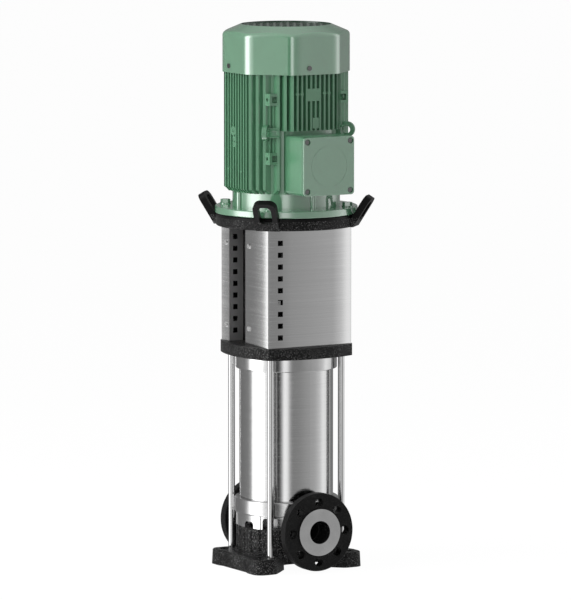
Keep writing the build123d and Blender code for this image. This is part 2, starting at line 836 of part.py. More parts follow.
with BuildPart() as seal_housing:
    with BuildSketch(Plane.XY.offset(head_boss_top - gland_pilot)):
        Circle(seal_chamber_d / 2 - thread_gap)
    extrude(amount=gland_pilot)
    with BuildSketch(Plane.XY.offset(head_boss_top)):
        Circle(gland_d / 2)
    extrude(amount=gland_t)
    with BuildSketch(Plane.XY.offset(head_boss_top + gland_t)):
        Circle(gland_neck_d / 2)
    extrude(amount=gland_neck_h)
    with BuildSketch(Plane.XY.offset(head_boss_top - gland_pilot)):
        Circle(seal_shaft_d / 2 + running_gap)
    extrude(amount=gland_pilot + gland_t + gland_neck_h, mode=Mode.SUBTRACT)
    with BuildSketch(Plane.XY.offset(head_boss_top - gland_pilot)):
        Circle(seat_d / 2)
    extrude(amount=seat_h, mode=Mode.SUBTRACT)
    with BuildSketch(Plane.XY.offset(head_boss_top)):
        with PolarLocations(gland_screw_pcd / 2, 4, 45):
            Circle(gland_screw_d / 2 + slip_gap)
    extrude(amount=gland_t, mode=Mode.SUBTRACT)
write(seal_housing, "seal_housing")

gland_places = [
    (gland_screw_pcd / 2 * cos(radians(a)), gland_screw_pcd / 2 * sin(radians(a))) for a in diagonals
]
seal_screws = hexagon_screw(
    gland_screw_d,
    1.6 * gland_screw_d,
    0.65 * gland_screw_d,
    gland_t + gland_screw_depth,
    Plane.XY.offset(head_boss_top + gland_t),
    gland_places,
)
write(seal_screws, "seal_screws")

# Lantern: four-sided plate with bowed sides, two walls, a round top ring and four tilted lifting lugs
with BuildPart() as lantern:
    with BuildSketch(Plane.XY.offset(lantern_ring_z)):
        Circle(lantern_ring_d / 2)
    extrude(amount=lantern_ring_t)
    fillet(lantern.edges().filter_by(GeomType.CIRCLE), ring_corner_r)
    for lug_angle in diagonals:
        outward = Vector(cos(radians(lug_angle)), sin(radians(lug_angle)), 0)
        rise = outward * sin(radians(lug_tilt)) + Vector(0, 0, cos(radians(lug_tilt)))
        facing = outward * cos(radians(lug_tilt)) - Vector(0, 0, sin(radians(lug_tilt)))
        lug_plane = Plane(
            origin=outward * lug_start + Vector(0, 0, lantern_ring_z),
            x_dir=rise.cross(facing),
            z_dir=facing,
        )
        with BuildSketch(lug_plane) as lug_outline:
            with Locations((0, (lug_l - lug_t) / 2)):
                Rectangle(lug_w, lug_l + lug_t)
            fillet(lug_outline.vertices().group_by(Axis.Y)[-1], lug_corner_r)
            with Locations((0, lug_l - lug_hole_top - lug_hole_l / 2)):
                RectangleRounded(lug_hole_w, lug_hole_l, lug_hole_r, mode=Mode.SUBTRACT)
        extrude(amount=-lug_t)
    with BuildSketch(Plane.XY.offset(lantern_ring_z)):
        Rectangle(2 * lantern_ring_d, 2 * lantern_ring_d)
    extrude(amount=-lantern_ring_t, mode=Mode.SUBTRACT)
    with BuildSketch(Plane.XY.offset(lantern_plate_z)) as plate_outline:
        with BuildLine():
            for turn in (0, 90, 180, 270):
                ThreePointArc(
                    Vector(plate_half, -plate_half).rotate(Axis.Z, turn),
                    Vector(plate_half + plate_bulge, 0).rotate(Axis.Z, turn),
                    Vector(plate_half, plate_half).rotate(Axis.Z, turn),
                )
        make_face()
        fillet(plate_outline.vertices(), plate_corner_r)
    extrude(amount=lantern_plate_t)
    for side in (-1, 1):
        with BuildSketch(Plane.XY.offset(lantern_plate_top)):
            with Locations(
                (-side * (pillar_x_from + pillar_x_to) / 2, side * (pillar_inner + pillar_outer) / 2)
            ):
                Rectangle(pillar_x_to - pillar_x_from, pillar_t)
        extrude(amount=lantern_ring_z - lantern_plate_top)
        # Bosses that reach out to the guards, with tapped holes
        for boss_x in (-side * guard_screw_x, side * guard_strip_screw_x):
            for boss_z in (guard_screw_low, guard_screw_high):
                with BuildSketch(Plane.XZ.offset(-side * pillar_outer)):
                    with Locations((boss_x, boss_z)):
                        Rectangle(guard_boss_w, guard_boss_h)
                extrude(amount=-side * (guard_half_y - sheet_t - pillar_outer))
                with BuildSketch(Plane.XZ.offset(-side * pillar_inner)):
                    with Locations((boss_x, boss_z)):
                        Circle(guard_screw_d / 2 + thread_gap)
                extrude(amount=-side * (guard_half_y - pillar_inner), mode=Mode.SUBTRACT)
    with BuildSketch(Plane.XY.offset(lantern_plate_z)):
        Circle(lantern_bore_d / 2)
        with Locations(*rod_places):
            Circle(rod_d / 2 + bolt_gap / 2)
    extrude(amount=lantern_plate_t, mode=Mode.SUBTRACT)
    with BuildSketch(Plane.XY.offset(lantern_ring_z)):
        Circle(lantern_ring_bore / 2)
    extrude(amount=lantern_ring_t, mode=Mode.SUBTRACT)
    with BuildSketch(Plane.XY.offset(lantern_top)):
        Circle(spigot_d / 2 + thread_gap)
    extrude(amount=-spigot_h - bolt_gap, mode=Mode.SUBTRACT)
    with BuildSketch(Plane.XY.offset(lantern_top)):
        with PolarLocations(motor_pcd / 2, 4, 45):
            Circle(motor_bolt_d / 2 + thread_gap)
    extrude(amount=-motor_bolt_reach - thread_gap, mode=Mode.SUBTRACT)
write(lantern, "lantern")


def guard(turn, name):
    """Sheet guard: wrap, bowed front, far strip and an inward return, with columns of square holes."""
    with BuildPart() as sheet:
        with BuildSketch(Plane.XY.offset(guard_z)):
            with BuildLine():
                Line((guard_wrap_end, -guard_half_y), (guard_half_x, -guard_half_y))
                ThreePointArc(
                    (guard_half_x, -guard_half_y),
                    (guard_half_x + guard_bulge, 0),
                    (guard_half_x, guard_half_y),
                )
                Line((guard_half_x, guard_half_y), (guard_strip_end, guard_half_y))
                Line((guard_strip_end, guard_half_y), (guard_strip_end, guard_half_y - guard_return))
                offset(amount=sheet_t, side=Side.RIGHT)
            make_face()
        extrude(amount=guard_h)
        with BuildSketch(Plane.YZ.offset(guard_half_x - sheet_t)):
            for step in range(guard_hole_count):
                with Locations((-guard_hole_y, guard_hole_low + step * guard_hole_pitch)):
                    Rectangle(guard_hole, guard_hole)
        extrude(amount=guard_bulge + sheet_t, mode=Mode.SUBTRACT)
        with BuildSketch(Plane.YZ.offset(guard_strip_end)):
            for step in range(guard_hole_count):
                with Locations((guard_return_hole_y, guard_hole_low + step * guard_hole_pitch)):
                    Rectangle(guard_hole, guard_hole)
        extrude(amount=2 * sheet_t, both=True, mode=Mode.SUBTRACT)
        for side, screw_x in ((-1, guard_screw_x), (1, guard_strip_screw_x)):
            with BuildSketch(Plane.XZ.offset(-side * guard_half_y)):
                with Locations((screw_x, guard_screw_low), (screw_x, guard_screw_high)):
                    Circle(guard_screw_d / 2 + slip_gap)
            extrude(amount=side * sheet_t, mode=Mode.SUBTRACT)
    with BuildPart() as turned:
        add(sheet.part.rotate(Axis.Z, turn))
    write(turned, name)


# The two guards are the same part, turned half a turn
guard(0, "guard_front")
guard(180, "guard_rear")

with BuildPart() as guard_screws:
    for side in (-1, 1):
        with BuildSketch(Plane.XZ.offset(-side * guard_half_y)):
            for screw_z in (guard_screw_low, guard_screw_high):
                with Locations((-side * guard_screw_x, screw_z), (side * guard_strip_screw_x, screw_z)):
                    Circle(guard_screw_d)
        extrude(amount=-side * guard_screw_d / 2)
        with BuildSketch(Plane.XZ.offset(-side * guard_half_y)):
            for screw_z in (guard_screw_low, guard_screw_high):
                with Locations((-side * guard_screw_x, screw_z), (side * guard_strip_screw_x, screw_z)):
                    Circle(guard_screw_d / 2)
        extrude(amount=side * (guard_half_y - pillar_outer))
write(guard_screws, "guard_screws")

# Muff coupling in two halves that clamp both shafts
for side, name in ((1, "coupling_half_front"), (-1, "coupling_half_rear")):
    with BuildPart() as coupling_half:
        with BuildSketch(Plane.XY.offset(coupling_bottom)):
            Circle(coupling_d / 2)
        extrude(amount=coupling_top - coupling_bottom)
        chamfer(coupling_half.edges().filter_by(GeomType.CIRCLE), coupling_edge)
        with BuildSketch(Plane.XY.offset(coupling_bottom)):
            Circle(seal_shaft_d / 2)
        extrude(amount=coupling_top - coupling_bottom, mode=Mode.SUBTRACT)
        with BuildSketch(Plane.XY.offset(lantern_top - motor_shaft_end - slip_gap)):
            Circle(motor_shaft_d / 2)
        extrude(amount=motor_shaft_end, mode=Mode.SUBTRACT)
        with BuildSketch(Plane.XY.offset(coupling_bottom)):
            with Locations((-side * (coupling_d / 2 - coupling_split / 2), 0)):
                Rectangle(coupling_d, 2 * coupling_d)
        extrude(amount=coupling_top - coupling_bottom, mode=Mode.SUBTRACT)
        # Screw holes, tapped in the rear half, with sunk seats for the heads in the front half
        with BuildSketch(Plane.YZ.offset(side * coupling_d / 2)):
            with Locations((0, (coupling_bottom + coupling_top) / 2)):
                with GridLocations(
                    2 * coupling_screw_y, coupling_top - coupling_bottom - 2 * coupling_screw_margin, 2, 2
                ):
                    Circle(coupling_screw_d / 2 + thread_gap)
        extrude(amount=-side * coupling_d / 2, mode=Mode.SUBTRACT)
        if side > 0:
            with BuildSketch(Plane.YZ.offset(coupling_d / 4)):
                with Locations((0, (coupling_bottom + coupling_top) / 2)):
                    with GridLocations(
                        2 * coupling_screw_y, coupling_top - coupling_bottom - 2 * coupling_screw_margin, 2, 2
                    ):
                        Circle(0.85 * coupling_screw_d)
            extrude(amount=coupling_d / 4, mode=Mode.SUBTRACT)
    write(coupling_half, name)

with BuildPart() as coupling_screws:
    for radius, length in ((coupling_screw_d / 2, -0.6 * coupling_d), (0.75 * coupling_screw_d, coupling_screw_d)):
        with BuildSketch(Plane.YZ.offset(coupling_d / 4)):
            with Locations((0, (coupling_bottom + coupling_top) / 2)):
                with GridLocations(
                    2 * coupling_screw_y, coupling_top - coupling_bottom - 2 * coupling_screw_margin, 2, 2
                ):
                    Circle(radius)
        extrude(amount=length if length > 0 else length + coupling_d / 4)
write(coupling_screws, "coupling_screws")

# Drive-end shield: mounting flange, spigot, bell, bearing housing and spigot for the frame
low_bore, low_outer, low_width, low_ball, low_count = low_bearing
high_bore, high_outer, high_width, high_ball, high_count = high_bearing
with BuildPart() as motor_end_shield:
    with BuildSketch(Plane.XZ):
        with BuildLine():
            Polyline(
                (motor_shaft_d / 2 + running_gap, lantern_top - spigot_h),
                (spigot_d / 2, lantern_top - spigot_h),
                (spigot_d / 2, lantern_top),
                (motor_flange_d / 2, lantern_top),
                (motor_flange_d / 2, motor_flange_top),
                (barrel_r, motor_flange_top),
                (barrel_r, frame_bottom),
                (barrel_inner_r - slip_gap, frame_bottom),
                (barrel_inner_r - slip_gap, frame_bottom + shield_spigot_h),
                (barrel_inner_r - shield_web_t, frame_bottom + shield_spigot_h),
                (barrel_inner_r - shield_web_t, motor_flange_top),
                (low_outer / 2 + shield_web_t, motor_flange_top),
                (low_outer / 2 + shield_web_t, low_bearing_z + low_width / 2),
                (low_outer / 2, low_bearing_z + low_width / 2),
                (low_outer / 2, low_bearing_z - low_width / 2),
                (motor_shaft_d / 2 + running_gap, low_bearing_z - low_width / 2),
                close=True,
            )
        make_face()
    revolve(axis=Axis.Z)
    flange_rim = motor_end_shield.edges().filter_by(GeomType.CIRCLE)
    fillet(flange_rim.filter_by(lambda e: abs(e.radius - motor_flange_d / 2) < 1e-3), 2)
    # Small upright posts on the bell, one towards each side of the frame
    for post_angle in (0, 90, 180, 270):
        with BuildSketch(turned_plane(motor_flange_top, post_angle)):
            with Locations((barrel_r, 0)):
                Circle(bell_post_r)
        extrude(amount=frame_bottom - motor_flange_top)
    with BuildSketch(Plane.XY.offset(lantern_top)):
        with PolarLocations(motor_pcd / 2, 4, 45):
            Circle(motor_bolt_d / 2 + bolt_gap)
    extrude(amount=motor_flange_t, mode=Mode.SUBTRACT)
    with BuildSketch(Plane.XY.offset(low_bearing_z - low_width / 2)):
        Circle(motor_shaft_d / 2 + running_gap)
    extrude(amount=-low_width, mode=Mode.SUBTRACT)
write(motor_end_shield, "motor_end_shield")

with BuildPart() as motor_flange_washers:
    with BuildSketch(Plane.XY.offset(motor_flange_top)):
        with PolarLocations(motor_pcd / 2, 4, 45):
            Circle(motor_washer_d / 2)
            Circle(motor_bolt_d / 2 + slip_gap, mode=Mode.SUBTRACT)
    extrude(amount=motor_washer_t)
write(motor_flange_washers, "motor_flange_washers")

motor_bolt_places = [
    (motor_pcd / 2 * cos(radians(a)), motor_pcd / 2 * sin(radians(a))) for a in diagonals
]
motor_flange_bolts = hexagon_screw(
    motor_bolt_d,
    motor_bolt_af,
    motor_bolt_head,
    motor_bolt_reach + motor_flange_t + motor_washer_t,
    Plane.XY.offset(motor_flange_top + motor_washer_t),
    motor_bolt_places,
)
write(motor_flange_bolts, "motor_flange_bolts")

# Motor frame: parallel fins on a round barrel, with their tips along an eight-sided envelope
with BuildPart() as fin_envelope:
    with BuildSketch(Plane.XY.offset(frame_bottom)):
        RegularPolygon(fin_apothem, 8, major_radius=False, rotation=22.5)
    extrude(amount=frame_top - frame_bottom)
    chamfer(fin_envelope.faces().sort_by(Axis.Z)[0].edges(), fin_chamfer)

fin_rows = [row * fin_pitch for row in range(-fin_side_count, fin_side_count + 1)]

with BuildPart() as motor_frame:
    # Below the terminal box's top the box side has no fins but a smooth seat between the outermost two
    with BuildSketch(Plane.XY.offset(frame_bottom)):
        Circle(barrel_r)
        for row in fin_rows:
            for face_angle in (0, 90, 180, 270):
                if face_angle > 0 or abs(row) > box_size / 2 + fin_pitch:
                    with PolarLocations(0, 1, face_angle):
                        with Locations((0.75 * fin_apothem, row)):
                            Rectangle(fin_apothem / 2, fin_t)
        with Locations((box_back - barrel_wall, 0)):
            Rectangle(2 * barrel_wall, box_size)
        Circle(barrel_inner_r, mode=Mode.SUBTRACT)
    extrude(amount=box_fin_bottom - frame_bottom)
    with BuildSketch(Plane.XY.offset(box_fin_bottom)):
        Circle(barrel_r)
        for row in fin_rows:
            with PolarLocations(0, 4):
                with Locations((0.75 * fin_apothem, row)):
                    Rectangle(fin_apothem / 2, fin_t)
        Circle(barrel_inner_r, mode=Mode.SUBTRACT)
    extrude(amount=frame_top - box_fin_bottom)
    add(fin_envelope.part, mode=Mode.INTERSECT)
    # Blank pad in the fins of the box side
    with BuildSketch(Plane.YZ.offset(barrel_r - barrel_wall / 2)):
        with Locations((plate_pad_y, plate_pad_z)):
            Rectangle(plate_pad_w, plate_pad_h)
    extrude(amount=fin_apothem - barrel_r + barrel_wall / 2)
    # Drilled bosses on single fins, and a small drilled plate under the pad
    with BuildSketch(Plane.YZ.offset(barrel_r - barrel_wall / 2)):
        with Locations(*[(row * fin_pitch, tip_boss_z) for row in box_side_bosses]):
            Circle(tip_boss_d / 2)
            Circle(tip_boss_hole_d / 2, mode=Mode.SUBTRACT)
        with Locations((0, drill_plate_z)):
            Rectangle(drill_plate_w, drill_plate_h)
        with Locations((0, drill_plate_z - drill_plate_h / 4)):
            Circle(tip_boss_hole_d / 2, mode=Mode.SUBTRACT)
    extrude(amount=fin_apothem - barrel_r + barrel_wall / 2)
    # The long side has a ring boss with a small plate under it, and bosses near the fins' lower ends
    with BuildSketch(Plane.XZ.offset(barrel_r - barrel_wall / 2)):
        with Locations((-fin_pitch, ring_boss_z)):
            Circle(ring_boss_d / 2)
            Circle(pad_hole_d / 2, mode=Mode.SUBTRACT)
        with Locations((-fin_pitch / 2, long_side_plate_z)):
            Rectangle(drill_plate_w, drill_plate_h)
            Circle(tip_boss_hole_d / 2, mode=Mode.SUBTRACT)
        with Locations(*[(row * fin_pitch, boss_z) for row, boss_z in long_side_bosses]):
            Circle(tip_boss_d / 2)
            Circle(tip_boss_hole_d / 2, mode=Mode.SUBTRACT)
    extrude(amount=fin_apothem - barrel_r + barrel_wall / 2)
    # Corner brackets: square pads joined by two webs, and a lifting eye between them
    for side in (-1, 1):
        for pad_z in (pad_low_z, pad_high_z):
            with BuildSketch(Plane.XY.offset(pad_z)):
                with Locations((pad_reach - pad_size / 2, side * (pad_reach - pad_size / 2))):
                    Rectangle(pad_size, pad_size)
                Circle(barrel_r - barrel_wall / 2, mode=Mode.SUBTRACT)
            extrude(amount=pad_height)
            with BuildSketch(Plane.YZ.offset(pad_reach)):
                with Locations((side * (pad_reach - pad_size / 2), pad_z + pad_height / 2)):
                    Rectangle(pad_window, pad_window)
            extrude(amount=-pad_size / 2, mode=Mode.SUBTRACT)
            with BuildSketch(Plane.XZ.offset(-side * pad_reach)):
                with Locations((pad_reach - pad_size / 2 + 1, pad_z + pad_height / 2)):
                    Circle(pad_hole_d / 2)
            extrude(amount=side * pad_size / 2, mode=Mode.SUBTRACT)
        for web_x, web_y in ((pad_reach - 9, pad_reach - 15), (pad_reach - 15, pad_reach - 9)):
            with BuildSketch(Plane.XY.offset(pad_low_z + pad_height)):
                with Locations((web_x, side * web_y)):
                    Rectangle(pad_wall - 1, pad_wall - 1)
            extrude(amount=pad_high_z - pad_low_z - pad_height)
        outward = Vector(cos(radians(45)), side * sin(radians(45)), 0)
        along = Vector(-outward.X, side * outward.X, 0)
        eye_plane = Plane(origin=along * eye_shift, x_dir=outward, z_dir=along)
        rise = 1 if eye_plane.y_dir.Z > 0 else -1
        with BuildSketch(eye_plane):
            with Locations(((eye_centre_reach + barrel_r - barrel_wall / 2) / 2, rise * eye_z)):
                Rectangle(eye_centre_reach - barrel_r + barrel_wall / 2, eye_outer_d)
            with Locations((eye_centre_reach, rise * eye_z)):
                Circle(eye_outer_d / 2)
                Circle(eye_hole_d / 2, mode=Mode.SUBTRACT)
        extrude(amount=eye_t / 2, both=True)
        with BuildSketch(eye_plane.offset(-eye_t / 2)):
            with Locations(((eye_block_reach + barrel_r - barrel_wall / 2) / 2, rise * eye_z)):
                Rectangle(eye_block_reach - barrel_r + barrel_wall / 2, eye_block_h)
            with Locations((eye_centre_reach, rise * eye_z)):
                Circle(eye_hole_d / 2 + 1, mode=Mode.SUBTRACT)
        extrude(amount=-eye_block_w)
write(motor_frame, "motor_frame")

# Stator core with slots, and the windings that fill them and bulge past both ends
with BuildPart() as stator_core:
    with BuildSketch(Plane.XY.offset(stator_bottom)):
        Circle(barrel_inner_r)
        Circle(rotor_d / 2 + air_gap, mode=Mode.SUBTRACT)
        with PolarLocations((winding_inner + winding_outer) / 2, slot_count):
            Rectangle(winding_outer - winding_inner, 3 * fin_t, mode=Mode.SUBTRACT)
    extrude(amount=stator_top - stator_bottom)
write(stator_core, "stator_core")

with BuildPart() as stator_windings:
    with BuildSketch(Plane.XY.offset(stator_bottom)):
        with PolarLocations((winding_inner + winding_outer) / 2, slot_count):
            Rectangle(winding_outer - winding_inner - 2 * slip_gap, 3 * fin_t - 2 * slip_gap)
    extrude(amount=stator_top - stator_bottom)
    for end_z, direction in ((stator_bottom, -1), (stator_top, 1)):
        with BuildSketch(Plane.XY.offset(end_z)):
            Circle(winding_outer)
            Circle(winding_inner, mode=Mode.SUBTRACT)
        extrude(amount=direction * winding_h)
write(stator_windings, "stator_windings")

# Rotor: core on the shaft
with BuildPart() as rotor_core:
    with BuildSketch(Plane.XY.offset(stator_bottom)):
        Circle(rotor_d / 2)
        Circle(0.6 * motor_shaft_d, mode=Mode.SUBTRACT)
    extrude(amount=stator_top - stator_bottom)
write(rotor_core, "rotor_core")

with BuildPart() as motor_shaft:
    with BuildSketch(Plane.XZ):
        with BuildLine():
            Polyline(
                (0, lantern_top - motor_shaft_end),
                (motor_shaft_d / 2, lantern_top - motor_shaft_end),
                (motor_shaft_d / 2, low_bearing_z - low_width / 2),
                (low_bore / 2, low_bearing_z - low_width / 2),
                (low_bore / 2, low_bearing_z + low_width / 2),
                (0.6 * motor_shaft_d, low_bearing_z + low_width / 2),
                (0.6 * motor_shaft_d, high_bearing_z - high_width / 2),
                (high_bore / 2, high_bearing_z - high_width / 2),
                (high_bore / 2, high_bearing_z + high_width / 2),
                (fan_shaft_d / 2, high_bearing_z + high_width / 2),
                (fan_shaft_d / 2, fan_shaft_top),
                (0, fan_shaft_top),
                close=True,
            )
        make_face()
    revolve(axis=Axis.Z)
write(motor_shaft, "motor_shaft")

# Both ball bearings: outer rings, balls and inner rings
with BuildPart() as bearing_outer_rings:
    for (bore, outer, width, ball, count), mid_z in ((low_bearing, low_bearing_z), (high_bearing, high_bearing_z)):
        with BuildSketch(Plane.XY.offset(mid_z - width / 2)):
            Circle(outer / 2)
            Circle((bore + outer) / 4 + ball / 3, mode=Mode.SUBTRACT)
        extrude(amount=width)
        with BuildSketch(Plane.XZ):
            with Locations(((bore + outer) / 4, mid_z)):
                Circle(ball / 2 + bearing_gap)
        revolve(axis=Axis.Z, mode=Mode.SUBTRACT)
write(bearing_outer_rings, "bearing_outer_rings")

with BuildPart() as bearing_inner_rings:
    for (bore, outer, width, ball, count), mid_z in ((low_bearing, low_bearing_z), (high_bearing, high_bearing_z)):
        with BuildSketch(Plane.XY.offset(mid_z - width / 2)):
            Circle((bore + outer) / 4 - ball / 3)
            Circle(bore / 2, mode=Mode.SUBTRACT)
        extrude(amount=width)
        with BuildSketch(Plane.XZ):
            with Locations(((bore + outer) / 4, mid_z)):
                Circle(ball / 2 + bearing_gap)
        revolve(axis=Axis.Z, mode=Mode.SUBTRACT)
write(bearing_inner_rings, "bearing_inner_rings")

with BuildPart() as bearing_balls:
    for (bore, outer, width, ball, count), mid_z in ((low_bearing, low_bearing_z), (high_bearing, high_bearing_z)):
        with Locations((0, 0, mid_z)):
            with PolarLocations((bore + outer) / 4, count):
                Sphere(ball / 2)
write(bearing_balls, "bearing_balls")

# Rear end shield: disc on the frame, bearing housing and lugs for the cover screws
with BuildPart() as rear_end_shield:
    with BuildSketch(Plane.XZ):
        with BuildLine():
            Polyline(
                (fan_shaft_d / 2 + running_gap, high_bearing_z + high_width / 2),
                (high_outer / 2, high_bearing_z + high_width / 2),
                (high_outer / 2, high_bearing_z - high_width / 2),
                (high_outer / 2 + shield_web_t, high_bearing_z - high_width / 2),
                (high_outer / 2 + shield_web_t, frame_top),
                (barrel_inner_r - shield_web_t, frame_top),
                (barrel_inner_r - shield_web_t, frame_top - shield_spigot_h),
                (barrel_inner_r - slip_gap, frame_top - shield_spigot_h),
                (barrel_inner_r - slip_gap, frame_top),
                (barrel_r, frame_top),
                (barrel_r, frame_top + shield_web_t),
                (fan_shaft_d / 2 + running_gap, frame_top + shield_web_t),
                close=True,
            )
        make_face()
    revolve(axis=Axis.Z)
    for face_angle in (0, 90, 180, 270):
        with BuildSketch(turned_plane(frame_top, face_angle)):
            with Locations(((barrel_inner_r + cover_apothem - cover_wall) / 2, -cover_screw_offset)):
                Rectangle(cover_apothem - cover_wall - barrel_inner_r, cover_lug_w)
        extrude(amount=cover_lug_h)
        with BuildSketch(outward_plane(face_angle, cover_apothem - cover_wall, 0)):
            with Locations((-cover_screw_offset, cover_screw_z)):
                Circle(cover_screw_d / 2 + thread_gap)
        extrude(amount=-(cover_apothem - cover_wall - barrel_inner_r), mode=Mode.SUBTRACT)
write(rear_end_shield, "rear_end_shield")

# Cooling fan on the shaft's upper end
with BuildPart() as fan:
    with BuildSketch(Plane.XY.offset(fan_bottom)):
        Circle(fan_d / 2)
    extrude(amount=fan_plate_t)
    with BuildSketch(Plane.XY.offset(fan_bottom)):
        Circle(fan_hub_d / 2)
        with PolarLocations((fan_hub_d + fan_d) / 4 - fan_blade_t, fan_blade_count):
            Rectangle((fan_d - fan_hub_d) / 2, fan_blade_t)
    extrude(amount=fan_h)
    with BuildSketch(Plane.XY.offset(fan_bottom)):
        Circle(fan_shaft_d / 2)
    extrude(amount=fan_h, mode=Mode.SUBTRACT)
write(fan, "fan")


def cover_blank(inset, bottom):
    """Eight-sided block with rounded corners, a conical top and a rounded shoulder."""
    crown_z = cover_crown_z - inset / cos(radians(cone_fall))
    with BuildPart() as blank:
        with BuildSketch(Plane.XY.offset(bottom)) as outline:
            RegularPolygon(cover_apothem - inset, 8, major_radius=False, rotation=22.5)
            fillet(outline.vertices(), cover_corner_r - inset)
        extrude(amount=crown_z + crown_r - bottom)
        with BuildSketch(Plane.XZ):
            with BuildLine():
                Polyline(
                    (crown_r, crown_z),
                    (2 * crown_r, crown_z - crown_r * tan(radians(cone_fall))),
                    (2 * crown_r, crown_z + 2 * crown_r),
                    (0, crown_z + 2 * crown_r),
                    (0, crown_z),
                    close=True,
                )
            make_face()
        revolve(axis=Axis.Z, mode=Mode.SUBTRACT)
        shoulder = blank.edges().filter_by(Axis.Z, reverse=True)
        fillet(shoulder.filter_by(lambda e: bottom + 1 < e.center().Z < crown_z - 1), shoulder_r - inset)
    return blank.part


# Fan cover: sheet-metal shell with a recessed, perforated air grille in its crown
cover_outer = cover_blank(0, cover_bottom)
cover_inner = cover_blank(cover_wall, cover_bottom - cover_wall)
with BuildPart() as fan_cover:
    add(cover_outer)
    add(cover_inner, mode=Mode.SUBTRACT)
    grille_r = crown_r - cover_wall
    with BuildSketch(Plane.XY.offset(cover_crown_z)):
        Circle(grille_r)
    extrude(amount=-grille_depth - grille_t, mode=Mode.SUBTRACT)
    with BuildSketch(Plane.XY.offset(cover_crown_z)):
        Circle(crown_r)
        Circle(grille_r, mode=Mode.SUBTRACT)
    extrude(amount=-grille_depth - grille_t)
    with BuildSketch(Plane.XY.offset(cover_crown_z - grille_depth)):
        Circle(grille_r)
        with HexLocations(grille_pitch / sqrt(3), 13, 13):
            RegularPolygon(grille_hole / 2, 6, major_radius=False, mode=Mode.SUBTRACT)
    extrude(amount=-grille_t)
    with BuildSketch(Plane.XY.offset(cover_crown_z - grille_depth)):
        Circle(grille_hub_d / 2)
        Circle(grille_r)
        Circle(grille_r - grille_pitch / 2, mode=Mode.SUBTRACT)
    extrude(amount=-grille_t)
    for face_angle in (0, 90, 180, 270):
        with BuildSketch(outward_plane(face_angle, cover_apothem - 2 * cover_wall, 0)):
            with Locations((-cover_screw_offset, cover_screw_z)):
                Circle(cover_screw_d / 2 + slip_gap)
        extrude(amount=3 * cover_wall, mode=Mode.SUBTRACT)
write(fan_cover, "fan_cover")

with BuildPart() as fan_cover_screws:
    for face_angle in (0, 90, 180, 270):
        for radius, length in ((cover_screw_d, cover_screw_d / 2), (cover_screw_d / 2, -2 * cover_screw_d)):
            with BuildSketch(outward_plane(face_angle, cover_apothem, 0)):
                with Locations((-cover_screw_offset, cover_screw_z)):
                    Circle(radius)
            extrude(amount=length)
write(fan_cover_screws, "fan_cover_screws")

# Terminal box against the barrel, with blanked cable entries on the side away from the pump's front
with BuildPart() as terminal_box:
    with BuildSketch(Plane.XY.offset(box_bottom)):
        with Locations(((box_back + box_lid_x) / 2, 0)):
            Rectangle(box_lid_x - box_back, box_size)
    extrude(amount=box_size)
    fillet(terminal_box.edges().filter_by(Axis.X), box_corner_r)
    with BuildSketch(Plane.XY.offset(box_bottom)):
        Circle(barrel_r)
    extrude(amount=box_size, mode=Mode.SUBTRACT)
    with BuildSketch(Plane.YZ.offset(barrel_r + box_wall)):
        with Locations((0, box_mid_z)):
            Rectangle(box_size - 2 * box_wall, box_size - 2 * box_wall)
            with GridLocations(box_size - 2 * lid_screw_inset, box_size - 2 * lid_screw_inset, 2, 2):
                Rectangle(2 * lid_screw_inset, 2 * lid_screw_inset, mode=Mode.SUBTRACT)
    extrude(amount=box_lid_x - barrel_r, mode=Mode.SUBTRACT)
    with BuildSketch(Plane.YZ.offset(box_lid_x)):
        with Locations((0, box_mid_z)):
            with GridLocations(box_size - 2 * lid_screw_inset, box_size - 2 * lid_screw_inset, 2, 2):
                Circle(lid_screw_d / 2 + thread_gap)
    extrude(amount=-3 * lid_screw_d, mode=Mode.SUBTRACT)
    with BuildSketch(Plane.XZ.offset(-box_size / 2)):
        with Locations((entry_x, box_mid_z)):
            with GridLocations(0, entry_spacing, 1, 2):
                Circle(entry_d / 2)
    extrude(amount=box_wall, mode=Mode.SUBTRACT)
write(terminal_box, "terminal_box")

with BuildPart() as entry_plugs:
    with BuildSketch(Plane.XZ.offset(-box_size / 2)):
        with Locations((entry_x, box_mid_z)):
            with GridLocations(0, entry_spacing, 1, 2):
                Circle(entry_d / 2 - thread_gap)
    extrude(amount=box_wall)
    with BuildSketch(Plane.XZ.offset(-box_size / 2)):
        with Locations((entry_x, box_mid_z)):
            with GridLocations(0, entry_spacing, 1, 2):
                RegularPolygon(entry_head_af / 2, 6, major_radius=False)
    extrude(amount=-entry_head_h)
write(entry_plugs, "entry_plugs")

with BuildPart() as terminal_lid:
    with BuildSketch(Plane.YZ.offset(box_lid_x)):
        with Locations((0, box_mid_z)):
            RectangleRounded(box_size, box_size, box_corner_r)
    extrude(amount=lid_t)
    fillet(terminal_lid.faces().sort_by(Axis.X)[-1].edges(), lid_head_h / 2)
    with BuildSketch(Plane.YZ.offset(box_lid_x + lid_t)):
        with Locations((0, box_mid_z)):
            with GridLocations(box_size - 2 * lid_screw_inset, box_size - 2 * lid_screw_inset, 2, 2):
                Circle(lid_ear_d / 2)
    extrude(amount=-lid_ear_h - lid_head_h, mode=Mode.SUBTRACT)
    with BuildSketch(Plane.YZ.offset(box_lid_x)):
        with Locations((0, box_mid_z)):
            with GridLocations(box_size - 2 * lid_screw_inset, box_size - 2 * lid_screw_inset, 2, 2):
                Circle(lid_screw_d / 2 + slip_gap)
    extrude(amount=lid_t, mode=Mode.SUBTRACT)
    with BuildSketch(Plane.YZ.offset(box_lid_x + lid_t)):
        with Locations((0, box_mid_z)):
            Circle(lid_ring_d / 2 + lid_ring_w / 2)
            Circle(lid_ring_d / 2 - lid_ring_w / 2, mode=Mode.SUBTRACT)
    extrude(amount=-lid_ring_h, mode=Mode.SUBTRACT)
write(terminal_lid, "terminal_lid")

